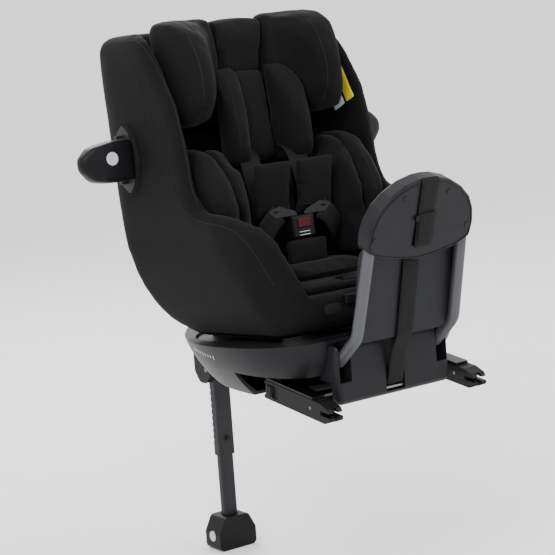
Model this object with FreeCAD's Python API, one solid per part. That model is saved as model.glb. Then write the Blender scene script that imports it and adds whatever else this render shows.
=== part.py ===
import FreeCAD, Part
import math
import os

# Convertible child car seat on a rotating base: ISOFIX arms, support leg,
# rebound bar, turntable, reclining shell, sliding headrest, infant inserts
# and five-point harness. Millimetres. The origin is on the underside of the
# base, below the turntable. +Y points to the support leg, +Z up.

V = FreeCAD.Vector

# ---- driving dimensions -------------------------------------------------
anchor_spacing = 280.0        # ISOFIX anchors, centre to centre
jaw_r = 3.2                   # rounded end of the jaw slot
arm_tip_y = -290.0            # jaw mouths, in front of the turntable axis
arm_tilt = 7.0                # arms drop towards the jaws
arm_w = 26.0
arm_h = 28.0
arm_len = 152.0

skirt_z = 42.0                # joint between tub and skirt
turn_z = 75.0                 # turntable plane above the underside
turn_tilt = -5.0              # turntable plane falls towards the leg
turn_r = 148.0
deck_hole_r = 152.0
wall = 5.0

leg_y = 218.0
leg_pin_z = -25.0
leg_w = 32.0
leg_d = 22.0
leg_bottom = -178.0
inner_top = -80.0
inner_bottom = -300.0
foot_bottom = -343.0
foot_top = -285.0
tube_wall = 2.2
slide_gap = 0.3

bar_r = 9.0                   # rebound tube
bar_x = 93.0

cover_t = 6.0
pan_z = 55.0                  # floor of the bucket
back_y = 105.0                # front face of the shell's back
recline_z = 350.0             # height of the recline axis
recline_r = 318.0
pod_hinge = (-210.0, 107.0)

os.makedirs("parts", exist_ok=True)


# ---- helpers ------------------------------------------------------------
def save(shape, name):
    shape.exportStep("parts/" + name + ".step")


def box(x0, x1, y0, y1, z0, z1):
    return Part.makeBox(x1 - x0, y1 - y0, z1 - z0, V(x0, y0, z0))


def cyl(x, y, z, r, h, axis=(0, 0, 1)):
    return Part.makeCylinder(r, h, V(x, y, z), V(*axis))


def fuse(shapes):
    return shapes[0].multiFuse(shapes[1:]).removeSplitter()


def group(shapes):
    return Part.makeCompound(shapes)


def mirror_x(shape):
    return shape.mirror(V(0, 0, 0), V(1, 0, 0))


def both(shape):
    return group([shape, mirror_x(shape)])


def corner(before, here, after, radius):
    """Start, middle and end of the arc that rounds one corner."""
    to_a = before - here
    to_b = after - here
    len_a = to_a.Length
    len_b = to_b.Length
    to_a.normalize()
    to_b.normalize()
    half = to_a.getAngle(to_b) / 2
    cut = min(radius / math.tan(half), 0.46 * len_a, 0.46 * len_b)
    bisector = (to_a + to_b).normalize()
    arc_r = cut * math.tan(half)
    centre = here + bisector * (cut / math.cos(half))
    return here + to_a * cut, centre - bisector * arc_r, here + to_b * cut


def rounded_loop(points, radius):
    """Closed wire through the corner points, every corner rounded."""
    count = len(points)
    arcs = []
    for i in range(count):
        arcs.append(corner(points[i - 1], points[i], points[(i + 1) % count], radius))
    edges = []
    for i in range(count):
        edges.append(Part.Arc(*arcs[i]).toShape())
        edges.append(Part.makeLine(arcs[i][2], arcs[(i + 1) % count][0]))
    return Part.Wire(edges)


def rounded_path(points, radius):
    """Open wire: straight runs joined by tangent arcs."""
    edges = []
    last = points[0]
    for i in range(1, len(points) - 1):
        start, middle, end = corner(points[i - 1], points[i], points[i + 1], radius[i - 1])
        edges.append(Part.makeLine(last, start))
        edges.append(Part.Arc(start, middle, end).toShape())
        last = end
    edges.append(Part.makeLine(last, points[-1]))
    return Part.Wire(edges)


def side_prism(outline, x0, x1, radius=8.0):
    """Side-view outline (y, z) extruded across the object."""
    wire = rounded_loop([V(x0, y, z) for y, z in outline], radius)
    return Part.Face(wire).extrude(V(x1 - x0, 0, 0))


def front_prism(outline, y0, y1, radius=8.0):
    """Front-view outline (x, z) extruded from front to back."""
    wire = rounded_loop([V(x, y0, z) for x, z in outline], radius)
    return Part.Face(wire).extrude(V(0, y1 - y0, 0))


def plan_prism(outline, z0, z1, radius=8.0):
    """Plan-view outline (x, y) extruded upwards."""
    wire = rounded_loop([V(x, y, z0) for x, y in outline], radius)
    return Part.Face(wire).extrude(V(0, 0, z1 - z0))


def mirrored(half):
    """Whole outline from its right half, listed from front to back."""
    return half + [(-x, y) for x, y in reversed(half)]


def pipe(points, radii, r):
    wire = rounded_path(points, radii)
    start = points[0]
    circle = Part.makeCircle(r, start, points[1] - points[0])
    return wire.makePipeShell([Part.Wire(circle)], True, False)


def soften(shape, radius):
    """Round the long edges of a block where the kernel can."""
    edges = [e for e in shape.Edges if e.Length > 3.2 * radius]
    for step in (1.0, 0.6, 0.3):
        try:
            result = shape.makeFillet(radius * step, edges)
        except Part.OCCError:
            continue
        if result.isValid() and result.Volume > 0:
            return result
    return shape


def tilt(shape, degrees, x, y, z):
    """Turn a local shape about X, then move its origin to (x, y, z)."""
    placed = shape.copy()
    placed.rotate(V(0, 0, 0), V(1, 0, 0), degrees)
    placed.translate(V(x, y, z))
    return placed


def in_seat(shape):
    """From the turntable's frame to the part's frame."""
    return tilt(shape, turn_tilt, 0, 0, turn_z)


def in_arm(shape):
    """From the ISOFIX arms' frame, origin at the jaw mouths, to the part's."""
    return tilt(shape, arm_tilt, 0, arm_tip_y, 0)


# ---- base: tub, skirt, rear housing -------------------------------------
base_half_w = 192.0
base_half_l = 247.0
base_half = [(90, -246), (150, -229), (184, -170), (192, -95), (184, -15),
             (158, 60), (123, 128), (84, 186), (46, 230)]


def base_wire(inset, z):
    """Base outline drawn in evenly by the inset at its widest and longest."""
    keep_x = 1 - inset / base_half_w
    keep_y = 1 - inset / base_half_l
    right = [V(x * keep_x, y * keep_y, z) for x, y in base_half]
    left = [V(-p.x, p.y, z) for p in reversed(right)]
    rear = V(0, -base_half_l * keep_y, z)
    nose = V(0, base_half_l * keep_y, z)
    curve = Part.BSplineCurve()
    curve.interpolate([rear] + right + [nose] + left, PeriodicFlag=True)
    return Part.Wire(curve.toShape())


def base_loft(levels):
    """Solid through base outlines given as (inset, z)."""
    return Part.makeLoft([base_wire(inset, z) for inset, z in levels], True)


housing_env = box(-108.3, 108.3, -270, -214, -5, 96)
rim_plane = in_seat(box(-400, 400, -400, 400, 0, 200))
deck_plane = in_seat(box(-400, 400, -400, 400, -wall, 200))
arm_bay = fuse([box(121, 220, -300, -96, -20, skirt_z), box(108, 220, -300, -172, -20, skirt_z)])
bracket_bay = box(-26.3, 26.3, 190, 270, -10, 46.3)
rear_gate = box(-122, 122, -300, -177, wall + 0.5, skirt_z)

skirt_outer = base_loft([(15, skirt_z), (5, 62), (0, 110)]).cut(rim_plane)
skirt_inner = base_loft([(20, skirt_z - 1), (10, 62), (5, 110)]).cut(deck_plane)
deck_hole = in_seat(cyl(0, 0, -30, deck_hole_r, 60))
base_skirt = skirt_outer.cut(skirt_inner).cut(deck_hole).cut(housing_env).cut(bracket_bay)
save(base_skirt, "base_skirt")

tub_outer = base_loft([(50, 0), (31, 20), (15, skirt_z)])
tub_inner = base_loft([(55, wall), (37, 22), (20, skirt_z + 1)])
base_tub = tub_outer.cut(tub_inner).cut(housing_env)
base_tub = base_tub.cut(arm_bay).cut(mirror_x(arm_bay)).cut(bracket_bay)
feet = both(box(84, 112, -66, -24, 0, 3.2))
save(base_tub.cut(rear_gate).cut(feet), "base_tub")
save(feet, "base_rubber_feet")

strap_slot = box(-18, 18, -275, -252, 6, 100)
housing = soften(box(-108, 108, -266, -214.3, 0, 90), 9)
housing = housing.cut(box(-102, 102, -248, -210, 6, 84)).cut(strap_slot)
bar_slot = both(box(bar_x - 10.5, bar_x + 10.5, -300, -238, 34, 100))
housing = housing.cut(both(box(100, 110, -249, -210, 6, 34)))
save(housing.cut(bar_slot), "rear_housing")
strap_anchor = cyl(-18, -259, 10, 3.0, 36, (1, 0, 0))

# ---- inside the base ----------------------------------------------------
frame_plate = cyl(0, 0, -50, 128, 5.7).fuse(box(-70, 70, -176, -100, -50, -44.3))
frame_plate = frame_plate.fuse(box(-147, 147, -176, -127, -50, -44.3))
frame_plate = in_seat(frame_plate.cut(cyl(0, 0, -52, 18, 10)))

race = cyl(0, 0, -44.2, 138, 10).cut(cyl(0, 0, -45, 112, 12))
race = race.cut(Part.makeTorus(125, 4.1, V(0, 0, -34.2)))
ball_count = 24
balls = []
for i in range(ball_count):
    angle = 2 * math.pi * i / ball_count
    balls.append(Part.makeSphere(4, V(125 * math.cos(angle), 125 * math.sin(angle), -34.2)))
save(in_seat(group([race] + balls)), "turntable_bearing")

post = cyl(0, 0, -44.2, 30, 8).fuse(cyl(0, 0, -44.2, 19.95, 38))
save(in_seat(post), "turntable_pivot_post")

rail = in_arm(box(128, 152, 34, 150, arm_h / 2 + 0.4, arm_h / 2 + 4))
hanger = box(134, 146, -172, -162, 31.5, 40.5)
steel_pieces = [frame_plate, rail, mirror_x(rail), hanger, mirror_x(hanger)]
save(fuse(steel_pieces), "base_steelwork")

# ---- ISOFIX arms --------------------------------------------------------
arm_x = anchor_spacing / 2
hook_pin = (38.0, 1.0)


def make_arm():
    nose = [(-6, 4), (-2, 9), (16, 14), (arm_len, 14), (arm_len, -14),
            (2, -14), (-8, -9), (-8, -4)]
    body = side_prism(nose, arm_x - arm_w / 2, arm_x + arm_w / 2, 3)
    slot = box(arm_x - 20, arm_x + 20, -20, 11, -jaw_r, jaw_r)
    seat = cyl(arm_x - 20, 11, 0, jaw_r, 40, (1, 0, 0))
    hook_bay = box(arm_x - 4, arm_x + 4, -20, 58, -20, 9)
    hollow = box(arm_x - 10, arm_x + 10, 66, arm_len - 6, -10, 10)
    pin_hole = cyl(arm_x - 20, hook_pin[0], hook_pin[1], 2.5, 40, (1, 0, 0))
    grip = box(arm_x + 11, arm_x + 14, 118, arm_len + 1, -9, 9)
    return fuse([body]).cut(slot).cut(seat).cut(hook_bay).cut(hollow).cut(pin_hole).cut(grip)


arm = make_arm()
save(in_arm(arm), "isofix_arm_right")
save(in_arm(mirror_x(arm)), "isofix_arm_left")

cross_bar = box(-arm_x + 13, arm_x - 13, 92, 112, 1, 12)
cross_bar = cross_bar.cut(box(-arm_x + 16, arm_x - 16, 94, 110, 2.5, 10.5))
save(in_arm(cross_bar), "isofix_cross_bar")

hook_outline = [(48, -7), (48, 7), (30, 7), (22, 5), (18, -4.2), (2, -4.2), (2, -11), (42, -11)]
hook = side_prism(hook_outline, arm_x - 3, arm_x + 3, 2)
hook = hook.cut(cyl(arm_x - 5, hook_pin[0], hook_pin[1], 2.55, 10, (1, 0, 0)))
save(in_arm(hook), "jaw_hook_right")
save(in_arm(mirror_x(hook)), "jaw_hook_left")

hook_pins = cyl(arm_x - 13, hook_pin[0], hook_pin[1], 2.5, 26, (1, 0, 0))
save(in_arm(both(hook_pins)), "jaw_hook_pins")

slider = box(arm_x + 11.2, arm_x + 14, 132, 146, -8.5, 8.5)
for i in range(3):
    slider = slider.fuse(box(arm_x + 14, arm_x + 16, 134 + 4 * i, 136 + 4 * i, -8, 8))
slider = slider.removeSplitter()
save(in_arm(slider), "release_slider_right")
save(in_arm(mirror_x(slider)), "release_slider_left")

# ---- rebound bar --------------------------------------------------------
bar_points = [V(-bar_x, -254, 65), V(-bar_x, -298, 104), V(-84, -353, 316),
              V(84, -353, 316), V(bar_x, -298, 104), V(bar_x, -254, 65)]
bar_radii = [32, 74, 74, 32]
bar = pipe(bar_points, bar_radii, bar_r)
bar_envelope = pipe(bar_points, bar_radii, bar_r + 0.1)
knuckle_ball = Part.makeSphere(bar_r, V(bar_x, -254, 65))
bar = fuse([bar, knuckle_ball, mirror_x(knuckle_ball)])
bar = bar.cut(both(cyl(bar_x - 20, -254, 65, 4.05, 40, (1, 0, 0))))
save(bar, "rebound_tube")
hinge_pin = cyl(bar_x - 14, -254, 65, 4.0, 28, (1, 0, 0))
save(group([strap_anchor, hinge_pin, mirror_x(hinge_pin)]), "rear_housing_pins")

head_outline = [(97, -20), (99, 4), (95, 25), (85, 45), (66, 63), (42, 77), (16, 84), (0, 85)]
head_outline = head_outline + [(-x, z) for x, z in reversed(head_outline[:-1])]
head_outline = head_outline + [(-64, -34), (0, -43), (64, -34)]


def head_frame(shape):
    return tilt(shape, 18, 0, -348, 251)


head = front_prism(head_outline, 0, 29, 14)
head_block = head_frame(front_prism(head_outline, -2, 60, 14))
head = soften(head, 5)
head = head_frame(head).cut(bar_envelope)
strap_gap = head_frame(box(-17, 17, -1, 3, -18, 60))

panel = front_prism([(-80, 0), (80, 0), (84, 146), (-84, 146)], 0, 10, 16)
panel = tilt(panel, 12.6, 0, -290, 93).cut(head_block)
save(panel.cut(bar_envelope), "rebound_lower_panel")

screw_spots = [(87, 0), (-87, 0), (41, 58), (-41, 58)]
screws = [head_frame(cyl(x, -0.8, z, 5, 6, (0, 1, 0))) for x, z in screw_spots]
head_screws = group(screws).cut(bar_envelope)
head_cut = head.cut(strap_gap).cut(head_screws)
save(head_cut, "rebound_head")
save(head_screws, "rebound_screws")

strap_w = 15.0
strap_upper = head_frame(box(-strap_w, strap_w, 0.4, 2.6, -14, 88))
strap_upper = strap_upper.cut(bar_envelope)
strap_low = tilt(box(-strap_w, strap_w, -4.2, -2.0, 6, 106), 12.6, 0, -290, 93)
strap_upper = strap_upper.common(head_frame(box(-20, 20, -1, 3, -14, 58)))
save(group([strap_upper, strap_low.cut(head)]), "tether_strap_upper")
strap_base = tilt(box(-strap_w, strap_w, 0, 2.2, 0, 74), 15.8, 0, -264, 16)
save(strap_base, "tether_strap_lower")

strap_buckle = head_frame(box(-19, 19, -4.2, -0.4, 22, 30))
save(strap_buckle, "tether_strap_slider")

# ---- support leg --------------------------------------------------------
cheeks = side_prism([(204, 46), (252, 46), (252, -30), (238, -49), (216, -49), (204, -30)],
                    -26, 26, 14)
cheeks = cheeks.cut(box(-17.5, 17.5, 190, 260, -60, -6))
save(cheeks.cut(cyl(-30, leg_y, leg_pin_z, 4.0, 60, (1, 0, 0))), "leg_hinge_bracket")
save(cyl(-26, leg_y, leg_pin_z, 4.0, 52, (1, 0, 0)), "leg_hinge_pin")


def tube_block(width, depth, z0, z1):
    block = box(-width / 2, width / 2, leg_y - depth / 2, leg_y + depth / 2, z0, z1)
    upright = [e for e in block.Edges if abs(e.Vertexes[0].Z - e.Vertexes[1].Z) > 1]
    return block.makeFillet(5.5, upright)


leg_inner_w = leg_w - 2 * tube_wall
leg_inner_d = leg_d - 2 * tube_wall
upper_tube = tube_block(leg_w, leg_d, leg_bottom, leg_pin_z)
knuckle = cyl(-leg_w / 2, leg_y, leg_pin_z, leg_d / 2, leg_w, (1, 0, 0))
upper_tube = upper_tube.fuse(knuckle)
bore = tube_block(leg_inner_w, leg_inner_d, leg_bottom - 1, leg_pin_z - 8)
upper_tube = upper_tube.cut(bore)
upper_tube = upper_tube.cut(cyl(-20, leg_y, leg_pin_z, 4.05, 40, (1, 0, 0)))
for i in range(9):
    notch_z = -66 - 11 * i
    notch = box(-17, -12, leg_y + 5.5, leg_y + 12, notch_z, notch_z + 4.5)
    upper_tube = upper_tube.cut(notch).cut(mirror_x(notch))
upper_tube = upper_tube.cut(cyl(0, 200, -148, 4.3, 10, (0, 1, 0)))
save(upper_tube, "leg_upper_tube")

inner_w = leg_inner_w - 2 * slide_gap
inner_d = leg_inner_d - 2 * slide_gap
lower_tube = tube_block(inner_w, inner_d, inner_bottom, inner_top)
lower_bore = box(-inner_w / 2 + 2, inner_w / 2 - 2, leg_y - inner_d / 2 + 2,
                 leg_y + inner_d / 2 - 2, inner_bottom - 1, inner_top + 1)
save(lower_tube.cut(lower_bore), "leg_lower_tube")

button = cyl(0, leg_y - leg_d / 2 - 3.6, -148, 4.0, 3.8, (0, 1, 0))
save(button, "leg_adjust_button")

foot_outline = [(-38, foot_bottom), (38, foot_bottom), (38, -312), (24, foot_top),
                (-24, foot_top), (-38, -312)]
foot = front_prism(foot_outline, leg_y - 22, leg_y + 22, 9)
pocket = box(-inner_w / 2 - 0.4, inner_w / 2 + 0.4, leg_y - inner_d / 2 - 0.4,
             leg_y + inner_d / 2 + 0.4, inner_bottom - 9, foot_top + 1)
foot = foot.cut(pocket)
cap = cyl(36.4, leg_y, -318, 9, 2.4, (1, 0, 0))
caps = both(cap)
save(foot.cut(caps), "leg_foot")
save(caps, "leg_foot_side_caps")

# ---- turntable and recline cradle (turntable frame) ---------------------
disc = cyl(0, 0, -29.7, turn_r, 25.7).cut(cyl(0, 0, -40, 20.0, 60))
disc = disc.cut(cyl(0, 0, -36, 31, 8.5))
save(in_seat(disc), "turntable_disc")


def recline_sector(radius):
    return cyl(-150, 0, recline_z, radius, 300, (1, 0, 0))


rail_block = box(78, 96, -90, 80, -3.9, 60)
rails = both(rail_block.cut(recline_sector(recline_r)))
plate = box(-96, 96, -90, 80, -3.9, 4)
cradle = fuse([plate, rails.Solids[0], rails.Solids[1]])
save(in_seat(cradle), "recline_cradle")

turn_lever = box(-22, 22, -141, -92, -3.6, 1.6)
turn_lever = fuse([turn_lever, box(-22, 22, -162, -136, 0.6, 5), box(-26, 26, -176, -160, 0.6, 6)])
save(in_seat(turn_lever), "turn_release_lever")

# ---- seat shell and its fabric cover (turntable frame) ------------------
side_outline = [(-196, 8), (-217, 26), (-219, 54), (-212, 78), (-197, 110), (-178, 158),
                (-154, 182), (-114, 197), (-64, 205), (-46, 240), (-40, 310), (-26, 374), (6, 430),
                (44, 478), (78, 490), (166, 492), (194, 478), (186, 400), (174, 250), (164, 165),
                (144, 90), (100, 34), (40, 8)]
plan_half = [(96, -219), (142, -198), (176, -160), (190, -100), (192, 60), (192, 136),
             (182, 180), (146, 202), (80, 212)]
front_half = [(142, 0), (172, 60), (186, 130), (192, 220), (190, 440), (176, 500)]
cavity_side = [(-260, 620), (-260, 62), (-190, 62), (-100, pan_z), (60, pan_z), (92, 70),
               (back_y, 120), (back_y + 8, 620)]
cavity_plan = [(70, -300), (112, -200), (140, -150), (161, -90), (163, 60), (140, 118),
               (80, 140)]
flare_plan = [(70, -300), (112, -200), (143, -150), (166, -90), (174, -20), (164, 60),
              (140, 118), (80, 140)]
flare_z = 150.0                # the side walls thin towards their rim above this


def offset_outline(outline, inset, radius):
    wire = rounded_loop([V(u, v, 0) for u, v in outline], radius)
    if inset:
        wire = wire.makeOffset2D(-inset)
    return Part.Face(wire)


def to_side(face, x0, x1):
    solid = face.extrude(V(0, 0, x1 - x0))
    solid.rotate(V(0, 0, 0), V(1, 1, 1), 120)
    solid.translate(V(x0, 0, 0))
    return solid


def to_front(face, y0, y1):
    solid = face.extrude(V(0, 0, y1 - y0))
    solid.rotate(V(0, 0, 0), V(1, 0, 0), 90)
    solid.translate(V(0, y1, 0))
    return solid


def to_plan(face, z0, z1):
    solid = face.extrude(V(0, 0, z1 - z0))
    solid.translate(V(0, 0, z0))
    return solid


def shell_body(inset):
    """Three outlines extruded through each other."""
    side = to_side(offset_outline(side_outline, inset, 22), -260, 260)
    plan = to_plan(offset_outline(mirrored(plan_half), inset, 40), -20, 540)
    front = to_front(offset_outline(mirrored(front_half), inset, 30), -300, 300)
    return side.common(plan).common(front)


def shell_cavity():
    side = to_side(offset_outline(cavity_side, 0, 16), -220, 220)
    lower = to_plan(offset_outline(mirrored(cavity_plan), 0, 24), 0, 700)
    upper = to_plan(offset_outline(mirrored(flare_plan), 0, 24), flare_z, 700)
    return side.common(lower.fuse(upper))


cavity = shell_cavity()
cover_body = shell_body(0)
shell_core = shell_body(cover_t)
rail_pocket = box(-104, 104, -152, 152, -10, 90).cut(recline_sector(recline_r - 0.5))
under_open = box(-112, 112, -150, 150, -10, 14)
handle_bay = box(-46.5, 46.5, -240, -203, 43.5, 60.5)
seat_cover = cover_body.cut(shell_core).cut(cavity).cut(rail_pocket).cut(under_open)
seat_cover = seat_cover.cut(handle_bay)
seat_shell = shell_core.cut(cavity).cut(rail_pocket).cut(handle_bay)
save(in_seat(seat_cover), "seat_cover")
save(in_seat(seat_shell), "seat_shell")

# ---- cushions in the bucket ---------------------------------------------
seat_pad = side_prism([(-196, 63), (-196, 80), (-150, 77), (40, 77), (40, 56), (-98, 56),
                       (-188, 63)], -104, 104, 4)
adjuster_bay = box(-17, 17, -184, -160, 67, 90)
save(in_seat(seat_pad.cut(adjuster_bay)), "seat_cushion")
back_pad = side_prism([(62, 80), (66, 330), (103, 330), (103, 122), (90, 74)], -122, 122, 6)
save(in_seat(back_pad), "back_cushion")


def side_pad_outline():
    return [(-106, 84), (-103, 150), (-98, 214), (-76, 260), (-38, 294), (0, 304), (58, 304), (58, 84)]


side_pad = side_prism(side_pad_outline(), 124, 168, 10)
side_pad = side_pad.common(to_plan(offset_outline(mirrored(cavity_plan), 1.5, 24), 0, 700))
save(in_seat(both(side_pad)), "side_cushions")

# ---- infant insert ------------------------------------------------------
insert_seat = side_prism([(-132, 78), (-137, 92), (-120, 101), (20, 98), (24, 78)], -98, 98, 5)
lip_plan = mirrored([(34, -137), (70, -120), (94, -86), (96, 24)])
insert_seat = insert_seat.common(plan_prism(lip_plan, 70, 110, 20))
save(in_seat(insert_seat), "insert_seat_pad")
insert_back = side_prism([(24, 101), (22, 180), (26, 260), (58, 260), (60, 101)], -70, 70, 6)
save(in_seat(insert_back), "insert_back_pad")
bolster_outline = [(-94, 101.5), (-96, 150), (-90, 212), (-68, 258), (-32, 292), (2, 300),
                   (44, 280), (52, 101.5)]
bolster_plan = [(78, 52), (78, 0), (88, -46), (106, -86), (123, -96), (123.4, 52)]
bolster = side_prism(bolster_outline, 70, 125, 20).common(plan_prism(bolster_plan, 80, 320, 8))
bolster = bolster.cut(box(60, 99.5, -80, 60, 264, 320))
save(in_seat(both(bolster)), "insert_bolsters")

# ---- headrest -----------------------------------------------------------
head_shell = box(-142, 142, 88, 100, 336, 478)
head_shell = head_shell.common(to_plan(offset_outline(mirrored(cavity_plan), 1.5, 24), 0, 700))
save(in_seat(head_shell), "headrest_shell")

head_pad = side_prism([(60, 342), (50, 410), (38, 462), (34, 488), (46, 500), (87, 498), (87, 342)],
                      -45.7, 45.7, 9)
save(in_seat(head_pad), "headrest_centre_pad")
wing_outline = [(86, 336), (86, 490), (64, 507), (20, 503), (-20, 480), (-46, 446), (-60, 412),
                (-61, 392), (-50, 364), (-16, 340), (10, 335)]
wing_plan = [(46.3, 86), (143, 86), (150, 54), (150, -20), (132, -61), (112, -61), (103, -20),
             (90, 12), (70, 34), (46.3, 38)]
wing = side_prism(wing_outline, 40, 152, 16).common(plan_prism(wing_plan, 300, 520, 9))
save(in_seat(both(wing)), "headrest_wings")

head_lever = box(-34, 34, 89, 98, 478.4, 489)
save(in_seat(soften(head_lever, 2)), "headrest_lever")

pillow = side_prism([(16, 268), (14, 300), (20, 380), (28, 410), (40, 418), (47, 400), (54, 345),
                     (54, 268)], -29, 29, 6)
save(in_seat(pillow), "head_insert_pillow")
leaf_outline = [(34, 426), (14, 414), (-14, 376), (-34, 328), (-34, 292), (-18, 268),
                (20, 264), (38, 280), (38, 426)]
leaf_plan = [(30, 34), (31, 8), (46, -24), (60, -36), (74, -30), (83, -6), (78, 14), (62, 30)]
leaf = side_prism(leaf_outline, 25, 90, 12).common(plan_prism(leaf_plan, 240, 440, 5))
save(in_seat(both(leaf)), "head_insert_wings")

# ---- harness ------------------------------------------------------------
shoulder_strap = box(23, 61, 0, 2, 0, 108)
shoulder_strap = tilt(shoulder_strap, 13, 0, -40, 170)
save(in_seat(both(shoulder_strap)), "shoulder_straps")
shoulder_pad = soften(box(6, 76, -12, -0.6, 8, 100), 4)
shoulder_pad = tilt(shoulder_pad, 13, 0, -40, 170)
save(in_seat(both(shoulder_pad)), "shoulder_pads")

buckle_body = box(-22, 22, -76, -58, 142, 178)
buckle_body = soften(buckle_body, 4)
button_bay = box(-13, 13, -80, -69, 158, 174)
save(in_seat(buckle_body.cut(button_bay)), "harness_buckle")
buckle_button = box(-12.7, 12.7, -78, -71, 158.3, 173.7)
save(in_seat(soften(buckle_button, 1.5)), "buckle_button")
tongue = front_prism([(4, 178.4), (50, 178.4), (62, 190), (40, 196), (12, 186)], -70, -66, 3)
save(in_seat(both(tongue)), "harness_tongues")
crotch_strap = box(-19, 19, -69, -66.6, 101, 141.6)
crotch_pad = soften(box(-38, 38, -82, -70, 102, 140), 3)
save(in_seat(crotch_pad), "crotch_pad")

lap = Part.makeBox(84, 2, 36, V(0, 0, -18))
lap.rotate(V(0, 0, 0), V(0, 1, 0), 36)
lap.translate(V(24, -64.5, 160))
lap = lap.common(box(24, 79, -80, -50, 101, 177.8))
save(in_seat(group([crotch_strap, lap, mirror_x(lap)])), "lap_and_crotch_straps")

adjuster = box(-16.4, 16.4, -183.4, -160.6, 70.5, 82)
save(in_seat(soften(adjuster, 2)), "harness_adjuster_button")

# ---- side impact pods ---------------------------------------------------
pod_plan = [(-206, 66), (-206, 111), (-214, 111), (-272, 104), (-296, 94), (-296, 76), (-262, 66)]
pod = plan_prism(pod_plan, 266, 328, 5)
pod_front = [(-200, 264), (-240, 264), (-276, 270), (-299, 292), (-299, 304), (-276, 322),
             (-240, 328), (-200, 330)]
pod = pod.common(front_prism(pod_front, 54, 124, 12))
pin_x, pin_y = pod_hinge
pod = pod.cut(cyl(pin_x, pin_y, 250, 2.55, 100))
save(in_seat(pod), "side_pod_left")
save(in_seat(mirror_x(pod)), "side_pod_right")

pod_plate = side_prism([(74, 297), (84, 338), (100, 352), (118, 340), (130, 297), (118, 254),
                        (100, 242), (84, 256)], -203, -193.5, 8)
ear = box(-214, -203, 102, 111, 0, 5).cut(cyl(pin_x, pin_y, -1, 2.5, 8))
ears = []
for z in (258.6, 330.4):
    lug = ear.copy()
    lug.translate(V(0, 0, z))
    ears.append(lug)
pod_plate = fuse([pod_plate] + ears)
pod_plate = pod_plate.cut(cover_body)
save(in_seat(both(pod_plate)), "pod_mount_plates")
pod_pin = cyl(pin_x, pin_y, 258, 2.5, 78)
save(in_seat(both(pod_pin)), "pod_hinge_pins")

# ---- handle at the front of the shell -----------------------------------
recline_handle = soften(box(-46, 46, -223, -204, 44, 60), 3)
save(in_seat(recline_handle), "recline_handle")
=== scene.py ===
import math

import bmesh
import bpy
from mathutils import Matrix, Vector, noise
from mathutils.bvhtree import BVHTree


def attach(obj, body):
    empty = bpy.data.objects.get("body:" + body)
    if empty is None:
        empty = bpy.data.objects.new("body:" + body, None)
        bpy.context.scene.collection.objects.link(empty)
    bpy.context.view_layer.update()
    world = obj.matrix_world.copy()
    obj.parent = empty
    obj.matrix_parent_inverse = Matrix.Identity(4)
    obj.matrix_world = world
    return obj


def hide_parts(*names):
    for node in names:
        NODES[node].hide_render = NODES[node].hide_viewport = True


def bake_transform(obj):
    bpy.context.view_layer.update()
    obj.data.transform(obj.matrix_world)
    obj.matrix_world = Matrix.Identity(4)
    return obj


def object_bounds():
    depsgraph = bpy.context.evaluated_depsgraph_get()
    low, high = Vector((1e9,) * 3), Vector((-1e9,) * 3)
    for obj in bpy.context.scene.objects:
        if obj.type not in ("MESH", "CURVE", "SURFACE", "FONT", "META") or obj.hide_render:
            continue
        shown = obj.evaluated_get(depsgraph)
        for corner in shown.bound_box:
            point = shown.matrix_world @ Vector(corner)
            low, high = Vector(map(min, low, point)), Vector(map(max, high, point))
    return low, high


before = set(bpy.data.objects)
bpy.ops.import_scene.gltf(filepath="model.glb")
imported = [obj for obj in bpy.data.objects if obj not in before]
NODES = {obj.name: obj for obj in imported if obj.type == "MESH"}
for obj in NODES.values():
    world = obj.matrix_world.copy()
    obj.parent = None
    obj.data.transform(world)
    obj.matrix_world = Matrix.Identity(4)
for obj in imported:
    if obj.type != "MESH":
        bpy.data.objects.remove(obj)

# Convertible child car seat: fabric shell, simulated cushions, webbing, rebound
# bar, base and support leg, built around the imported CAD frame. Lengths are in
# metres. Places are given in millimetres, mostly in a frame that leans.

MM = 0.001
CAD_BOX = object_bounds()
SIDES = ((-1, "left"), (1, "right"))


def leaning(y, z, degrees):
    """Frame at a place in millimetres, turned about X."""
    return Matrix.Translation((0, y * MM, z * MM)) @ Matrix.Rotation(math.radians(degrees), 4, "X")


SEAT = leaning(0, 75, -5)           # the seat on its turntable
HEAD = leaning(-348, 251, 18)       # head of the rebound bar
PANEL = leaning(-290, 93, 12.6)     # lower panel of the rebound bar
SEAT_INV = SEAT.inverted()
TURN = SEAT.to_3x3()
X = Vector((1, 0, 0))
SEAT_Y = TURN @ Vector((0, 1, 0))
SEAT_Z = TURN @ Vector((0, 0, 1))


def at(frame_matrix, x, y, z):
    """Point given in millimetres in a leaning frame."""
    return frame_matrix @ Vector((x * MM, y * MM, z * MM))


def seat(x, y, z):
    """Point given in millimetres on the seat."""
    return at(SEAT, x, y, z)


# ---- materials ------------------------------------------------------------
WAVE_PERIOD = 0.314     # width of one band of the wave texture at scale 1


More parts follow.
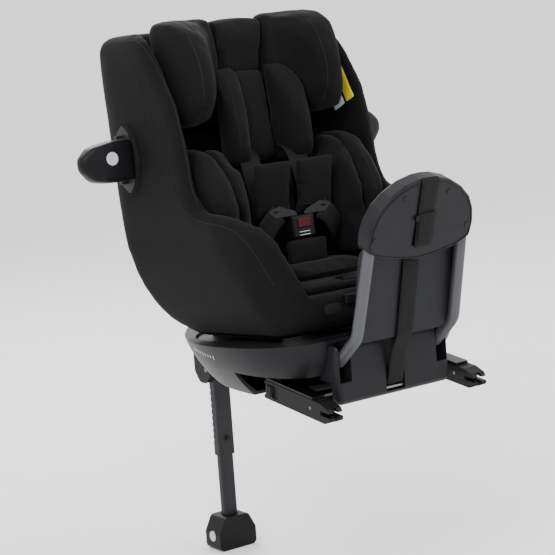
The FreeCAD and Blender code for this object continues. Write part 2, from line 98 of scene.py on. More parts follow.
class Look:
    """Short calls for building one node material."""

    def __init__(self, name):
        self.material = bpy.data.materials.new(name)
        self.material.use_nodes = True
        self.tree = self.material.node_tree
        self.shader = self.tree.nodes["Principled BSDF"]
        coordinates = self.tree.nodes.new("ShaderNodeTexCoord")
        self.place = coordinates.outputs["Object"]

    def link(self, source, target):
        self.tree.links.new(source, target)

    def stretched(self, scale):
        node = self.tree.nodes.new("ShaderNodeMapping")
        node.inputs["Scale"].default_value = scale
        self.link(self.place, node.inputs["Vector"])
        return node.outputs["Vector"]

    def noise(self, scale, detail=2.0, vector=None):
        node = self.tree.nodes.new("ShaderNodeTexNoise")
        node.inputs["Scale"].default_value = scale
        node.inputs["Detail"].default_value = detail
        self.link(vector or self.place, node.inputs["Vector"])
        return node.outputs["Fac"]

    def ribs(self, pitch, direction):
        """Bands across a direction, a pitch in millimetres apart."""
        node = self.tree.nodes.new("ShaderNodeTexWave")
        node.bands_direction = direction
        node.inputs["Scale"].default_value = WAVE_PERIOD / (pitch * MM)
        self.link(self.place, node.inputs["Vector"])
        return node.outputs["Fac"]

    def voronoi(self, scale):
        node = self.tree.nodes.new("ShaderNodeTexVoronoi")
        node.inputs["Scale"].default_value = scale
        self.link(self.place, node.inputs["Vector"])
        return node.outputs["Distance"]

    def math(self, operation, a, b):
        node = self.tree.nodes.new("ShaderNodeMath")
        node.operation = operation
        for socket, value in zip(node.inputs, (a, b)):
            if isinstance(value, (int, float)):
                socket.default_value = value
            else:
                self.link(value, socket)
        return node.outputs[0]

    def mix(self, a, share, b):
        """Sum of two values, with a's share and the rest from b."""
        return self.math("ADD", self.math("MULTIPLY", a, share), self.math("MULTIPLY", b, 1 - share))

    def ramp(self, value, stops):
        node = self.tree.nodes.new("ShaderNodeValToRGB")
        ramp = node.color_ramp
        while len(ramp.elements) < len(stops):
            ramp.elements.new(0.5)
        for element, (position, colour) in zip(ramp.elements, stops):
            element.position = position
            element.color = (*colour, 1)
        self.link(value, node.inputs["Fac"])
        return node.outputs["Color"]

    def colour(self, value, stops):
        self.link(self.ramp(value, stops), self.shader.inputs["Base Color"])

    def bump(self, height, distance, strength):
        node = self.tree.nodes.new("ShaderNodeBump")
        node.inputs["Strength"].default_value = strength
        node.inputs["Distance"].default_value = distance
        self.link(height, node.inputs["Height"])
        self.link(node.outputs["Normal"], self.shader.inputs["Normal"])

    def roughness(self, value, low, high):
        node = self.tree.nodes.new("ShaderNodeMapRange")
        node.inputs["To Min"].default_value = low
        node.inputs["To Max"].default_value = high
        self.link(value, node.inputs["Value"])
        self.link(node.outputs["Result"], self.shader.inputs["Roughness"])

    def constant(self, socket, value):
        self.shader.inputs[socket].default_value = value


def tone(colour, factor):
    """The colour made lighter or darker."""
    return tuple(min(1.0, c * factor) for c in colour)


def fabric(name, colour, thread, rib_pitch=None, fleck=1.7, sheen=0.03):
    """Knit or woven cloth: threads in the bump, flecks and broad fading in the colour.

    The thread and the pitch of any ribs are in millimetres.
    """
    look = Look(name)
    fine = look.noise(1.0 / (thread * MM), 3.0)
    broad = look.noise(9.0, 3.0)
    stops = [(0.34, tone(colour, 0.62)), (0.52, colour), (0.66, tone(colour, fleck))]
    look.colour(look.mix(fine, 0.75, broad), stops)
    look.roughness(fine, 0.78, 0.97)
    height = look.mix(look.voronoi(1.0 / (1.5 * thread * MM)), 0.5, fine)
    if rib_pitch:
        ribs = look.math("MULTIPLY", look.ribs(rib_pitch, "X"), 1.6)
        height = look.math("ADD", height, ribs)
    look.bump(height, 0.5 * MM if rib_pitch else 0.35 * MM, 0.8)
    look.constant("Sheen Weight", sheen)
    look.constant("Sheen Roughness", 0.45)
    look.constant("Specular IOR Level", 0.11)
    return look.material


def webbing(name, colour):
    """Tight woven strap: cross ribs with a finer thread over them."""
    look = Look(name)
    thread = look.noise(1300)
    weave = look.mix(look.ribs(1.9, "Z"), 0.45, thread)
    look.colour(weave, [(0.3, tone(colour, 0.7)), (0.7, tone(colour, 1.5))])
    look.roughness(thread, 0.55, 0.8)
    look.bump(weave, 0.3 * MM, 0.8)
    look.constant("Specular IOR Level", 0.14)
    return look.material


def plastic(name, colour, low, high, grain=0.55, depth=0.05, gloss=0.34):
    """Moulded plastic: spark-eroded grain, faint sink and handling marks.

    Its roughness runs from low to high; the grain and its depth are in millimetres.
    """
    look = Look(name)
    fine = look.noise(1.0 / (grain * MM))
    wear = look.noise(22.0, 5.0)
    look.colour(wear, [(0.3, tone(colour, 0.86)), (0.7, tone(colour, 1.14))])
    look.roughness(look.mix(wear, 0.7, fine), low, high)
    look.bump(fine, depth * MM, 0.7)
    look.constant("Specular IOR Level", gloss)
    return look.material


def metal(name, colour, low, high, metallic=1.0):
    """Drawn or painted metal: fine upright lines, softly uneven gloss."""
    look = Look(name)
    lines = look.noise(900, 2.0, look.stretched((1, 1, 0.04)))
    cloudy = look.noise(14.0, 3.0)
    look.colour(cloudy, [(0.3, tone(colour, 0.88)), (0.7, tone(colour, 1.08))])
    look.roughness(look.mix(lines, 0.5, cloudy), low, high)
    look.bump(lines, 0.02 * MM, 0.5)
    look.constant("Metallic", metallic)
    look.constant("Specular IOR Level", 0.18)
    return look.material


SHELL_CLOTH = fabric("shell_cloth", (0.0036, 0.0036, 0.0038), 0.9)
PAD_CLOTH = fabric("pad_cloth", (0.0040, 0.0040, 0.0043), 1.1)
INSERT_CLOTH = fabric("insert_cloth", (0.0038, 0.0038, 0.0041), 0.8, sheen=0.04)
RIB_CLOTH = fabric("rib_cloth", (0.0056, 0.0052, 0.0054), 0.8, rib_pitch=5.0)
SLEEVE_CLOTH = fabric("sleeve_cloth", (0.0048, 0.0048, 0.0050), 0.7)
PIPING = fabric("piping_cloth", (0.0105, 0.0105, 0.011), 0.5, fleck=1.3)
TAG_CLOTH = fabric("tag_cloth", (0.013, 0.013, 0.014), 0.5)
STRAP = webbing("strap_web", (0.0042, 0.0042, 0.0046))
BLACK_PLASTIC = plastic("black_plastic", (0.0040, 0.0041, 0.0050), 0.36, 0.5, gloss=0.13)
PANEL_PLASTIC = plastic("panel_plastic", (0.0078, 0.0080, 0.0102), 0.36, 0.5, gloss=0.16)
SKIRT_PLASTIC = plastic("skirt_plastic", (0.0070, 0.0072, 0.0088), 0.4, 0.54, gloss=0.16)
TUB_PLASTIC = plastic("tub_plastic", (0.0125, 0.0128, 0.0145), 0.42, 0.56, gloss=0.18)
DARK_PLASTIC = plastic("dark_plastic", (0.015, 0.0155, 0.017), 0.35, 0.5, gloss=0.2)
PALE_PLASTIC = plastic("pale_plastic", (0.40, 0.41, 0.42), 0.35, 0.5)
RED_PLASTIC = plastic("red_plastic", (0.05, 0.002, 0.003), 0.34, 0.46, gloss=0.15)
WHITE_LABEL = plastic("white_label", (0.72, 0.74, 0.76), 0.45, 0.6, grain=0.9, depth=0.02)
YELLOW_LABEL = plastic("yellow_label", (0.82, 0.66, 0.03), 0.45, 0.6, grain=0.9, depth=0.02)
TUBE_METAL = metal("tube_metal", (0.075, 0.077, 0.083), 0.34, 0.5, metallic=0.6)
LEG_METAL = metal("leg_metal", (0.017, 0.0175, 0.020), 0.36, 0.52, metallic=0.3)
STEEL = metal("steel", (0.15, 0.15, 0.155), 0.28, 0.44)
DARK_STEEL = metal("dark_steel", (0.024, 0.024, 0.026), 0.3, 0.45)
RUBBER = plastic("rubber", (0.008, 0.008, 0.008), 0.7, 0.9, grain=0.9, depth=0.1)


# ---- mesh helpers -----------------------------------------------------------
def add_object(name, mesh):
    """New object in the scene."""
    piece = bpy.data.objects.new(name, mesh)
    bpy.context.scene.collection.objects.link(piece)
    return piece


def paint(piece, *materials):
    """Give the piece these materials only."""
    piece.data.materials.clear()
    for material in materials:
        piece.data.materials.append(material)


def dress(piece, material, body=None):
    """Give a new piece its finish and the body it rides."""
    paint(piece, material)
    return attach(piece, body) if body else piece


def smooth_faces(mesh):
    """Shade every face smooth."""
    mesh.polygons.foreach_set("use_smooth", [True] * len(mesh.polygons))


def from_bmesh(name, bm):
    """New smooth object from the bmesh, its faces made to agree."""
    bmesh.ops.recalc_face_normals(bm, faces=bm.faces)
    mesh = bpy.data.meshes.new(name)
    bm.to_mesh(mesh)
    bm.free()
    smooth_faces(mesh)
    return add_object(name, mesh)


def cad_copy(name, *nodes):
    """New object with the joined surfaces of the CAD nodes."""
    bm = bmesh.new()
    for node in nodes:
        bm.from_mesh(NODES[node].data)
    bmesh.ops.remove_doubles(bm, verts=bm.verts, dist=1e-6)
    mesh = bpy.data.meshes.new(name)
    bm.to_mesh(mesh)
    bm.free()
    return add_object(name, mesh)


def bake(piece):
    """Replace the mesh with its modified form and drop the modifiers."""
    depsgraph = bpy.context.evaluated_depsgraph_get()
    mesh = bpy.data.meshes.new_from_object(piece.evaluated_get(depsgraph))
    piece.modifiers.clear()
    piece.data = mesh


def remesh(piece, voxel):
    """Rebuild the surface from even cells of a size in millimetres."""
    modifier = piece.modifiers.new("Remesh", "REMESH")
    modifier.mode = "VOXEL"
    modifier.voxel_size = voxel * MM
    bake(piece)


def relax(piece, rounds):
    """Soften the surface."""
    modifier = piece.modifiers.new("Smooth", "SMOOTH")
    modifier.factor = 0.5
    modifier.iterations = rounds
    bake(piece)


def subdivide(piece):
    """Split every face in four, rounding the surface."""
    modifier = piece.modifiers.new("Subdivision", "SUBSURF")
    modifier.levels = 1
    modifier.render_levels = 1
    bake(piece)
    smooth_faces(piece.data)


def moulded(piece, width=None):
    """Round a hard piece's edges by a width in millimetres and keep its flats flat."""
    if width:
        bevel = piece.modifiers.new("Bevel", "BEVEL")
        bevel.width = width * MM
        bevel.segments = 2
        bevel.limit_method = "ANGLE"
        bevel.angle_limit = math.radians(40)
    weighted = piece.modifiers.new("Weighted", "WEIGHTED_NORMAL")
    weighted.keep_sharp = True
    split = piece.modifiers.new("Split", "EDGE_SPLIT")
    split.split_angle = math.radians(35)


def push(piece, amount):
    """Move every vertex along its normal by a length or a function of its place."""
    mesh = piece.data
    moved = []
    for vertex in mesh.vertices:
        step = amount(vertex.co) if callable(amount) else amount
        moved.append(vertex.co + vertex.normal * step)
    for vertex, place in zip(mesh.vertices, moved):
        vertex.co = place
    mesh.update()


INFLATE_FRAMES = 20


def inflate(piece, cap):
    """Blow the closed cloth up from inside, no point further than the cap."""
    rest = [vertex.co.copy() for vertex in piece.data.vertices]
    cloth = piece.modifiers.new("Cloth", "CLOTH")
    settings = cloth.settings
    settings.quality = 4
    settings.mass = 0.3
    settings.tension_stiffness = 12
    settings.compression_stiffness = 12
    settings.shear_stiffness = 5
    settings.bending_stiffness = 0.4
    settings.use_pressure = True
    settings.uniform_pressure_force = 4.0
    settings.effector_weights.gravity = 0
    cloth.collision_settings.use_collision = False
    cloth.point_cache.frame_end = INFLATE_FRAMES
    scene = bpy.context.scene
    for number in range(1, INFLATE_FRAMES + 1):
        scene.frame_set(number)
    bake(piece)
    scene.frame_set(1)
    for vertex, start in zip(piece.data.vertices, rest):
        step = vertex.co - start
        if step.length > cap:
            vertex.co = start + step.normalized() * cap
    piece.data.update()


FOLD_SIZE = 34 * MM


def wrinkle(height, size, seed):
    """Soft cloth folds for push()."""
    shift = Vector((seed, 2.3 * seed, 0.7 * seed))
    return lambda place: height * noise.noise(place / size + shift)


def stuffed(name, node, body, material, voxel, rounds, shrink, cap, folds=0.7):
    """Cushion blown up from its CAD solid, then softened and riding its body.

    Lengths are in millimetres: it shrinks first, then swells up to the cap.
    """
    piece = cad_copy(name, node)
    remesh(piece, voxel)
    relax(piece, rounds)
    push(piece, -shrink * MM)
    inflate(piece, cap * MM)
    relax(piece, 2)
    push(piece, wrinkle(folds * MM, FOLD_SIZE, len(name)))
    subdivide(piece)
    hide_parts(node)
    return dress(piece, material, body)


SEAM_STEP = 4 * MM      # even spacing of a seam's points
SHORTEST_SEAM = 8       # a run of no more points than this is dropped


def chain(edges):
    """Ordered vertex runs through a set of edges."""
    links = {}
    for edge in edges:
        a, b = edge.verts
        links.setdefault(a, []).append(b)
        links.setdefault(b, []).append(a)
    runs = []
    seen = set()
    for start in links:
        if start in seen:
            continue
        run = [start]
        seen.add(start)
        while True:
            following = [v for v in links[run[-1]] if v not in seen]
            if not following:
                break
            run.append(following[0])
            seen.add(following[0])
        runs.append([v.co.copy() for v in run])
    return runs


def section(piece, point, normal):
    """Longest outline where a plane cuts the piece."""
    bm = bmesh.new()
    bm.from_mesh(piece.data)
    everything = bm.verts[:] + bm.edges[:] + bm.faces[:]
    cut = bmesh.ops.bisect_plane(bm, geom=everything, plane_co=point, plane_no=normal)
    edges = [e for e in cut["geom_cut"] if isinstance(e, bmesh.types.BMEdge)]
    longest = max(chain(edges), key=len)
    bm.free()
    return longest


def even(points, step, rounds=10):
    """Resample a line at an even step, softened."""
    result = [points[0]]
    left = step
    for a, b in zip(points, points[1:]):
        length = (b - a).length
        while length >= left:
            a = a + (b - a).normalized() * left
            result.append(a)
            length = (b - a).length
            left = step
        left -= length
    for _ in range(rounds):
        middle = [(p + 2 * q + r) / 4 for p, q, r in zip(result, result[1:], result[2:])]
        result = [result[0]] + middle + [result[-1]]
    return result


def tube(name, points, radius, material, body, closed=False):
    """Round cord through the points, as a mesh."""
    data = bpy.data.curves.new(name, "CURVE")
    data.dimensions = "3D"
    data.bevel_depth = radius
    data.bevel_resolution = 2
    spline = data.splines.new("POLY")
    spline.points.add(len(points) - 1)
    for target, place in zip(spline.points, points):
        target.co = (*place, 1)
    spline.use_cyclic_u = closed
    curve = add_object(name, data)
    depsgraph = bpy.context.evaluated_depsgraph_get()
    mesh = bpy.data.meshes.new_from_object(curve.evaluated_get(depsgraph))
    bpy.data.objects.remove(curve)
    smooth_faces(mesh)
    return dress(add_object(name, mesh), material, body)


def allowed(loop, keep):
    """Runs of a closed outline where keep() allows, judged in millimetres on the seat."""
    flags = [keep(SEAT_INV @ place / MM) for place in loop]
    parts = []
    part = []
    for place, good in zip(loop, flags):
        if good:
            part.append(place)
        elif part:
            parts.append(part)
            part = []
    if part:
        parts.append(part)
    if len(parts) > 1 and flags[0]:
        parts[0] = parts.pop() + parts[0]
    return [part for part in parts if len(part) > SHORTEST_SEAM]


def seam(name, piece, body, point, normal, radius, keep=None):
    """Piping where a plane meets the piece, only where keep() allows."""
    run = section(piece, point, normal)
    loop = run + run[:1]
    parts = allowed(loop, keep) if keep else [loop]
    for number, part in enumerate(parts):
        tube(f"{name}_0_{number}", even(part, SEAM_STEP), radius * MM, PIPING, body)


def curve_points(corners, per=8):
    """Catmull-Rom curve through the corners."""
    pts = [corners[0] * 2 - corners[1]] + corners + [corners[-1] * 2 - corners[-2]]
    result = []
    for i in range(1, len(pts) - 2):
        p0, p1, p2, p3 = pts[i - 1:i + 3]
        for k in range(per):
            t = k / per
            result.append(0.5 * (2 * p1 + (p2 - p0) * t + (2 * p0 - 5 * p1 + 4 * p2 - p3) * t * t
                                 + (3 * p1 - p0 - 3 * p2 + p3) * t ** 3))
    return result + [corners[-1].copy()]


# Half of a strap's outline in shares of its half width and half thickness.
STRAP_EDGE = [(-1, -0.4), (-0.97, -1), (-0.5, -1), (0, -1), (0.5, -1), (0.97, -1), (1, -0.4)]


def ribbon(name, corners, width, thick, body=None, across=X):
    """Flat strap along a curve, its edges rounded; width and thickness in millimetres."""
    path = curve_points(corners)
    both = STRAP_EDGE + [(-u, -v) for u, v in STRAP_EDGE]
    outline = [(u * (width * MM / 2), v * (thick * MM) / 2) for u, v in both]
    bm = bmesh.new()
    rings = []
    for i, place in enumerate(path):
        ahead = path[min(i + 1, len(path) - 1)] - path[max(i - 1, 0)]
        ahead.normalize()
        side = (across - ahead * across.dot(ahead)).normalized()
        up = ahead.cross(side)
        rings.append([bm.verts.new(place + side * u + up * v) for u, v in outline])
    count = len(outline)
    for a, b in zip(rings, rings[1:]):
        for k in range(count):
            bm.faces.new((a[k], a[(k + 1) % count], b[(k + 1) % count], b[k]))
    bm.faces.new(rings[0])
    bm.faces.new(list(reversed(rings[-1])))
    return dress(from_bmesh(name, bm), STRAP, body)


def surface(piece):
    """Search tree over a piece's faces, for casting rays on it."""
    bm = bmesh.new()
    bm.from_mesh(piece.data)
    tree = BVHTree.FromBMesh(bm)
    bm.free()
    return tree


def cast(tree, start, towards):
    """First point the ray meets, or its start."""
    hit = tree.ray_cast(start, towards)[0]
    return hit or start


RAY_BACK = 120 * MM     # how far before a patch its rays start
EDGE_SINK = 0.4 * MM    # how far a patch's edge turns into the surface


def stitched(name, tree, starts, towards, radius, body):
    """Cord laid on a surface under a row of ray starts."""
    places = [cast(tree, start, towards) for start in curve_points(starts, 6)]
    return tube(name, even(places, SEAM_STEP, 6), radius * MM, PIPING, body)


def patch(name, tree, centre, u, v, size, towards, lift, material, body, roundness=0.3, steps=10):
    """Thin rounded patch laid on a surface, with its edge turned down.

    It spans a width along u and a height along v, and stands proud by the lift,
    all in millimetres. Rays run towards the surface and stop on it.
    """
    bm = bmesh.new()
    rows = []
    width, height = size[0] * MM, size[1] * MM
    for i in range(steps + 1):
        row = []
        for j in range(steps + 1):
            a = 2 * i / steps - 1
            b = 2 * j / steps - 1
            a_round = a * math.sqrt(1 - roundness * b * b)
            b_round = b * math.sqrt(1 - roundness * a * a)
            start = centre + u * (a_round * width / 2) + v * (b_round * height / 2)
            place = cast(tree, start - towards * RAY_BACK, towards)
            edge = max(abs(a), abs(b)) ** 8
            rise = lift * MM * (1 - edge) - EDGE_SINK * edge
            row.append(bm.verts.new(place - towards * rise))
        rows.append(row)
    for a, b in zip(rows, rows[1:]):
        for k in range(steps):
            bm.faces.new((a[k], a[k + 1], b[k + 1], b[k]))
    return dress(from_bmesh(name, bm), material, body)


def disc(name, centre, normal, radius, rise, material, body):
    """Round moulded badge with a rolled rim; radius and rise in millimetres."""
    radius *= MM
    rise *= MM
    profile = [(0, 0.75 * rise), (0.62, 0.75 * rise), (0.74, rise), (0.9, rise),
               (1.0, 0.55 * rise), (1.0, -4 * rise)]
    turn = normal.to_track_quat("Z", "Y")
    bm = bmesh.new()
    hub = bm.verts.new(centre + turn @ Vector((0, 0, profile[0][1])))
    count = 32
    rings = []
    for r, h in profile[1:]:
        ring = []
        for k in range(count):
            angle = 2 * math.pi * k / count
            local = Vector((radius * r * math.cos(angle), radius * r * math.sin(angle), h))
            ring.append(bm.verts.new(centre + turn @ local))
        rings.append(ring)
    for k in range(count):
        bm.faces.new((hub, rings[0][k], rings[0][(k + 1) % count]))
    for a, b in zip(rings, rings[1:]):
        for k in range(count):
            bm.faces.new((a[k], b[k], b[(k + 1) % count], a[(k + 1) % count]))
    bm.faces.new(list(reversed(rings[-1])))
    return dress(from_bmesh(name, bm), material, body)


# ---- the covered shell --------------------------------------------------------
CLOTH_EDGE_Z = 13           # the cloth ends this far above the seat's underside
POCKET_X = 107              # half width of the pocket over the recline rails
POCKET_Y = (-155, 156)
POCKET_TOP = 90
RAIL_RADIUS = 330
RAIL_ROOF = 364             # height of the pocket's centre of curvature


def in_pocket(place):
    """True on the plastic underside, inside the recline rails' pocket."""
    x, y, z = SEAT_INV @ place / MM
    roof = RAIL_ROOF - math.sqrt(max(0, RAIL_RADIUS ** 2 - y * y))
    over_rails = abs(x) < POCKET_X and POCKET_Y[0] < y < POCKET_Y[1] and z < roof
    return z < CLOTH_EDGE_Z or (over_rails and z < POCKET_TOP)


cover = cad_copy("shell_cover", "seat_cover", "seat_shell")
remesh(cover, 5.5)
relax(cover, 30)
push(cover, lambda place: (2.4 + noise.noise(place / 0.07)) * MM)
subdivide(cover)
paint(cover, SHELL_CLOTH, BLACK_PLASTIC)
for face in cover.data.polygons:
    face.material_index = 1 if in_pocket(face.center) else 0
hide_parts("seat_cover", "seat_shell")
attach(cover, "seat")

# Side seam from the top of the wing down to the front lip, as places (y, z).
SIDE_SEAM = [(104, 476), (62, 440), (41, 400), (22, 350), (2, 290), (-16, 244), (-36, 212),
             (-72, 194), (-116, 186), (-150, 172), (-168, 150), (-182, 116), (-193, 86)]
LIP_HALF = 90           # half width of the front lip
LIP_BOW = 13            # how far the lip's ends lie behind its middle

cover_tree = surface(cover)
for side, word in SIDES:
    seam(f"wing_piping_{word}", cover, "seat", seat(side * 181, 0, 200), X, 1.1,
         keep=lambda p: p.y < 90 and p.z > 214)
    stitched(f"side_seam_{word}", cover_tree, [seat(side * 240, y, z) for y, z in SIDE_SEAM],
             Vector((-side, 0, 0)), 0.8, "seat")
lip = [seat(x, -206 + LIP_BOW * (x / LIP_HALF) ** 2, 120) for x in range(-LIP_HALF, LIP_HALF + 1, 15)]
stitched("front_lip_piping", cover_tree, lip, -SEAT_Z, 1.3, "seat")

# ---- cushions ------------------------------------------------------------------
stuffed("seat_pad", "seat_cushion", "seat", PAD_CLOTH, voxel=6, rounds=5, shrink=1.5, cap=4)
stuffed("back_pad", "back_cushion", "seat", PAD_CLOTH, voxel=6, rounds=5, shrink=2, cap=5)
side_pads = stuffed("side_pads", "side_cushions", "seat", PAD_CLOTH,
                    voxel=5, rounds=26, shrink=1, cap=5)
bolsters = stuffed("body_bolsters", "insert_bolsters", "seat", INSERT_CLOTH,
                   voxel=5, rounds=16, shrink=0.5, cap=7)
insert_base = stuffed("insert_base", "insert_seat_pad", "seat", INSERT_CLOTH,
                      voxel=4, rounds=8, shrink=1, cap=5)
insert_back = stuffed("insert_back", "insert_back_pad", "seat", RIB_CLOTH,
                      voxel=5, rounds=6, shrink=1.5, cap=5)
stuffed("head_centre", "headrest_centre_pad", "headrest", RIB_CLOTH,
        voxel=5, rounds=6, shrink=0.5, cap=4)
head_wings = stuffed("head_wings", "headrest_wings", "headrest", PAD_CLOTH,
                     voxel=5, rounds=18, shrink=0.5, cap=7)
pillow = stuffed("head_pillow", "head_insert_pillow", "headrest", RIB_CLOTH,
                 voxel=4, rounds=6, shrink=0.3, cap=6)
leaves = stuffed("head_leaves", "head_insert_wings", "headrest", INSERT_CLOTH,
                 voxel=4, rounds=10, shrink=0.2, cap=7)
stuffed("shoulder_sleeves", "shoulder_pads", "seat", SLEEVE_CLOTH,
        voxel=3, rounds=6, shrink=0.5, cap=3, folds=0.3)
stuffed("crotch_sleeve", "crotch_pad", "seat", SLEEVE_CLOTH,
        voxel=3, rounds=6, shrink=0.5, cap=2.5, folds=0.3)

# The head wings' front edges sag back a little under their own filling.
SAG = 0.8
for vertex in head_wings.data.vertices:
    local = SEAT_INV @ vertex.co
    local.y = min(local.y, 0) * SAG + max(local.y, 0)
    vertex.co = SEAT @ local

for side, word in SIDES:
    for part, x, radius, back in (("piping", 110, 1.2, 84), ("outer_piping", 134, 1.0, 80),
                                  ("inner_seam", 60, 0.6, 60)):
        seam(f"head_wing_{part}_{word}", head_wings, "headrest", seat(side * x, 20, 420), X, radius,
             keep=lambda p: p.y < back)
    seam(f"leaf_seam_{word}", leaves, "headrest", seat(side * 60, 0, 340),
         TURN @ Vector((0.95, side * 0.31, 0)), 0.9)
    seam(f"bolster_seam_{word}", bolsters, "seat", seat(side * 112, -40, 200), X, 0.9)
    seam(f"side_pad_seam_{word}", side_pads, "seat", seat(side * 138, -40, 200), X, 0.9,
         keep=lambda p: p.y < 40)
seam("pillow_seam", pillow, "headrest", seat(0, 30, 340), TURN @ Vector((0, 1, -0.12)), 0.8)
seam("insert_base_seam", insert_base, "seat", seat(0, -50, 89), SEAT_Z, 0.9)
seam("insert_back_seam", insert_back, "seat", seat(0, 40, 180), SEAT_Y, 0.8)

# ---- harness -------------------------------------------------------------------
HARNESS_THICK = 1.8
for side, word in SIDES:
    route = [seat(side * 31, -66, 190), seat(side * 38, -52, 196), seat(side * 46, -33, 210),
             seat(side * 47, -22, 250), seat(side * 46, -10, 279), seat(side * 44, 12, 292)]
    strap = ribbon(f"shoulder_strap_{word}", route, 38, HARNESS_THICK, "seat")
    route = [seat(side * 40, -68, 184), seat(side * 56, -68, 172), seat(side * 70, -63, 154),
             seat(side * 79, -52, 138), seat(side * 84, -36, 124)]
    lap = ribbon(f"lap_strap_{word}", route, 34, HARNESS_THICK, "seat",
                 across=TURN @ Vector((side * 0.55, 0, 0.83)))
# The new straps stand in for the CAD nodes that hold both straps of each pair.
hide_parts("shoulder_straps")
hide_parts("lap_and_crotch_straps")
route = [seat(0, -67, 146), seat(0, -67.5, 128), seat(0, -66, 110), seat(0, -62, 100)]
ribbon("crotch_web", route, 38, HARNESS_THICK, "seat")

# ---- side pods -----------------------------------------------------------------
for side, word in SIDES:
    node = f"side_pod_{word}"
    pod = cad_copy(f"pod_{word}", node)
    remesh(pod, 2.5)
    relax(pod, 45)
    push(pod, 1.8 * MM)
    subdivide(pod)
    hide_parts(node)
    dress(pod, BLACK_PLASTIC, f"pod_{word}")
    face = cast(surface(pod), seat(side * 248, -20, 302), SEAT_Y)
    disc(f"pod_badge_{word}", face, -SEAT_Y, 10.5, 1.2, PALE_PLASTIC, f"pod_{word}")

# ---- rebound strap ---------------------------------------------------------------
hanging_route = [at(HEAD, 0, 3, 85), at(HEAD, 0, -1.4, 81), at(HEAD, 0, -1.8, 66),
                 at(HEAD, 0.5, -1.6, 44), at(HEAD, 1, -1.6, 26), at(HEAD, 2, -1.8, 8),
                 at(HEAD, 3, -2.4, -20)]
hanging = ribbon("tether_strap_end", hanging_route, 32, 2.0, "rebound_bar")
fold_route = [at(HEAD, 1, -3.4, 33), at(HEAD, 2, -4.2, 14), at(HEAD, 3, -5.2, -8)]
ribbon("tether_strap_end_fold", fold_route, 29, 1.8, "rebound_bar")
lower_panel = cad_copy("lower_panel", "rebound_lower_panel")
PANEL_STRETCH = 1.08        # the panel reaches the tubes on both sides
for vertex in lower_panel.data.vertices:
    vertex.co.x *= PANEL_STRETCH
smooth_faces(lower_panel.data)
moulded(lower_panel, 2.5)
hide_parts("rebound_lower_panel")
dress(lower_panel, PANEL_PLASTIC, "rebound_bar")
panel_route = [at(PANEL, 0, 2, 128), at(PANEL, 0, -3.1, 112), at(PANEL, 0, -3.1, 50),
               at(PANEL, 0, -3.1, 10)]
ribbon("tether_strap", panel_route, 30, 2.0, "rebound_bar")
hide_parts("tether_strap_upper")
low_route = [at(PANEL, 0, -3.1, 14), at(PANEL, 0, -3.0, 2), Vector((0, -0.279, 0.070)),
             Vector((0, -0.270, 0.040)), Vector((0, -0.2635, 0.016))]
strap_low = ribbon("tether_strap_low", low_route, 30, 2.0)
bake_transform(strap_low)
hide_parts("tether_strap_lower")

# ---- CAD nodes that stay -----------------------------------------------------------
# Each node's material, and how far its edges are rounded in millimetres.
FINISH = {
    "base_skirt": (SKIRT_PLASTIC, 1.5),
    "base_tub": (TUB_PLASTIC, 1.2),
    "rear_housing": (SKIRT_PLASTIC, 1.5),
    "rear_housing_pins": (STEEL, None),
    "base_rubber_feet": (RUBBER, None),
    "base_steelwork": (DARK_STEEL, None),
    "turntable_bearing": (STEEL, None),
    "turntable_pivot_post": (STEEL, None),
    "leg_hinge_bracket": (BLACK_PLASTIC, 1.5),
    "leg_hinge_pin": (STEEL, None),
    "isofix_arm_left": (BLACK_PLASTIC, 1.2),
    "isofix_arm_right": (BLACK_PLASTIC, 1.2),
    "isofix_cross_bar": (DARK_STEEL, None),
    "jaw_hook_pins": (STEEL, None),
    "jaw_hook_left": (DARK_STEEL, None),
    "jaw_hook_right": (DARK_STEEL, None),
    "release_slider_left": (DARK_PLASTIC, 0.4),
    "release_slider_right": (DARK_PLASTIC, 0.4),
    "rebound_tube": (TUBE_METAL, None),
    "rebound_head": (PANEL_PLASTIC, 1.5),
    "rebound_screws": (DARK_STEEL, None),
    "tether_strap_slider": (BLACK_PLASTIC, 0.8),
    "leg_upper_tube": (LEG_METAL, None),
    "leg_lower_tube": (LEG_METAL, None),
    "leg_foot": (BLACK_PLASTIC, 2.0),
    "leg_foot_side_caps": (PALE_PLASTIC, None),
    "leg_adjust_button": (BLACK_PLASTIC, None),
    "turntable_disc": (SKIRT_PLASTIC, None),
    "recline_cradle": (BLACK_PLASTIC, None),
    "turn_release_lever": (DARK_PLASTIC, 1.0),
    "harness_buckle": (BLACK_PLASTIC, 1.2),
    "harness_tongues": (DARK_STEEL, 0.5),
    "pod_mount_plates": (DARK_PLASTIC, 1.2),
    "pod_hinge_pins": (STEEL, None),
    "recline_handle": (BLACK_PLASTIC, None),
    "headrest_shell": (BLACK_PLASTIC, 1.5),
    "headrest_lever": (BLACK_PLASTIC, None),
    "buckle_button": (RED_PLASTIC, None),
    "harness_adjuster_button": (BLACK_PLASTIC, None),
}
for node, (material, width) in FINISH.items():
    piece = NODES[node]
    paint(piece, material)
    smooth_faces(piece.data)
    moulded(piece, width)

# ---- small marks -----------------------------------------------------------------
LABEL_SLANT = 0.44          # the label leans forward with the wing's edge
LABEL_TALL = 84
label_up = TURN @ Vector((0, LABEL_SLANT, 1)).normalized()
label_across = TURN @ Vector((0, -1, LABEL_SLANT)).normalized()
for colour, y, width, material in (("pale", 29, 29, WHITE_LABEL), ("yellow", 3.6, 20, YELLOW_LABEL)):
    patch(f"blank_label_{colour}", cover_tree, seat(163, y, 386 - LABEL_SLANT * y), label_across,
          label_up, (width, LABEL_TALL), X, 0.9, material, "seat", roundness=0.04, steps=20)

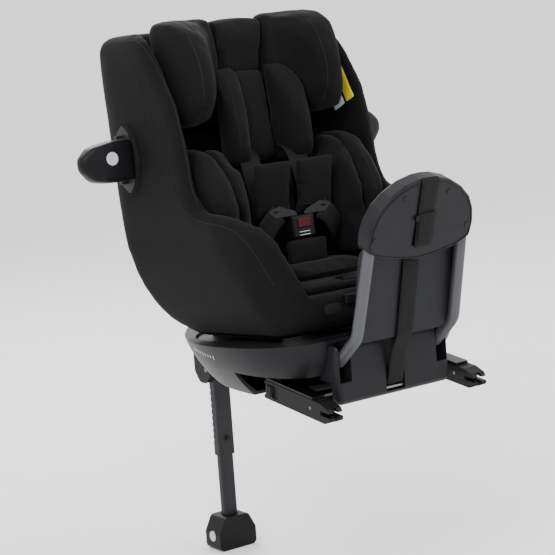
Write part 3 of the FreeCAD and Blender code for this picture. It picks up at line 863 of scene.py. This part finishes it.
TICK_COUNT = 9
skirt_tree = surface(NODES["base_skirt"])
for i in range(TICK_COUNT):
    share = i / (TICK_COUNT - 1)
    place = Vector((-165, 21 - 75 * share, 63 - 2 * share)) * MM
    tall = 9 if i % 4 == 0 else 7
    patch(f"scale_tick_{i}", skirt_tree, place, Vector((0, 1, 0)), Vector((0, 0, 1)), (2.6, tall), X,
          0.5, PALE_PLASTIC, "base", steps=4)

# Painted shade: a dark cord on the rebound head's face stands in for the shade in its recessed panel
# line, as places (x, z) up one side and down the other.
groove_shade_half = [(91.5, -17.5), (93.5, 4), (89.8, 23.5), (80.5, 42), (62.5, 59), (40, 72.2), (15, 79)]
groove_shade_line = groove_shade_half + [(-x, z) for x, z in reversed(groove_shade_half)] + [(-61, -29), (0, -38), (61, -29)]
rim = curve_points([at(HEAD, x, -0.2, z) for x, z in groove_shade_line + groove_shade_line[:1]])
tube("rebound_head_groove_shade", rim[:-1], 0.9 * MM, BLACK_PLASTIC, "rebound_bar", closed=True)

patch("front_tag", cover_tree, seat(-70, -200, 42), X, SEAT_Z, (34, 17), SEAT_Y, 1.2, TAG_CLOTH, "seat")
buckle_tree = surface(NODES["harness_buckle"])
for i, z in enumerate((146.5, 151.5)):
    patch(f"buckle_line_{i}", buckle_tree, seat(0, -76, z), X, SEAT_Z, (26, 1.6), SEAT_Y, 0.4,
          PALE_PLASTIC, "seat", steps=6)

# ---- stage, lights, camera ---------------------------------------------------------
FLOOR_HALF = 160.0      # so wide that its edge is never seen
bm = bmesh.new()
bmesh.ops.create_grid(bm, x_segments=8, y_segments=8, size=FLOOR_HALF)
floor_mesh = bpy.data.meshes.new("floor")
bm.to_mesh(floor_mesh)
bm.free()
floor = add_object("floor", floor_mesh)
floor.location = (0, 0, CAD_BOX[0][2] - 0.5 * MM)
paper = Look("floor_paper")
paper.colour(paper.noise(3.0), [(0.3, (0.89, 0.89, 0.89)), (0.7, (0.92, 0.92, 0.92))])
paper.constant("Roughness", 0.9)
paint(floor, paper.material)

world = bpy.data.worlds.new("studio")
world.use_nodes = True
sky = world.node_tree.nodes["Background"]
sky.inputs["Color"].default_value = (1, 1, 1, 1)
sky.inputs["Strength"].default_value = 1.6
bpy.context.scene.world = world


def area_light(name, place, target, size, power):
    """Soft round light that faces a target."""
    data = bpy.data.lights.new(name, "AREA")
    data.shape = "DISK"
    data.size = size
    data.energy = power
    light = bpy.data.objects.new(name, data)
    light.location = place
    light.rotation_euler = (Vector(target) - Vector(place)).to_track_quat("-Z", "Y").to_euler()
    bpy.context.scene.collection.objects.link(light)


area_light("key", (-2.2, -1.4, 2.4), (0, 0, 0.25), size=1.6, power=70)
area_light("fill", (1.8, -2.4, 1.4), (0, -0.1, 0.2), size=1.8, power=30)
area_light("rim", (0.6, 2.4, 2.2), (0, 0, 0.3), size=1.4, power=60)

# The view of the photograph: where the camera stands and its own three axes.
CAMERA_PLACE = (-1.704366, -2.386609, 0.642823)
CAMERA_RIGHT = (0.80716642, -0.58592376, -0.07194239)
CAMERA_UP = (0.15437881, 0.09188484, 0.98372982)
CAMERA_BACK = (-0.56978026, -0.80514006, 0.16462057)
camera_data = bpy.data.cameras.new("camera")
camera_data.sensor_width = 36
camera_data.lens = 119.87
camera = bpy.data.objects.new("camera", camera_data)
axes = Matrix((CAMERA_RIGHT, CAMERA_UP, CAMERA_BACK)).transposed().to_4x4()
camera.matrix_world = Matrix.Translation(CAMERA_PLACE) @ axes
bpy.context.scene.collection.objects.link(camera)
bpy.context.scene.camera = camera
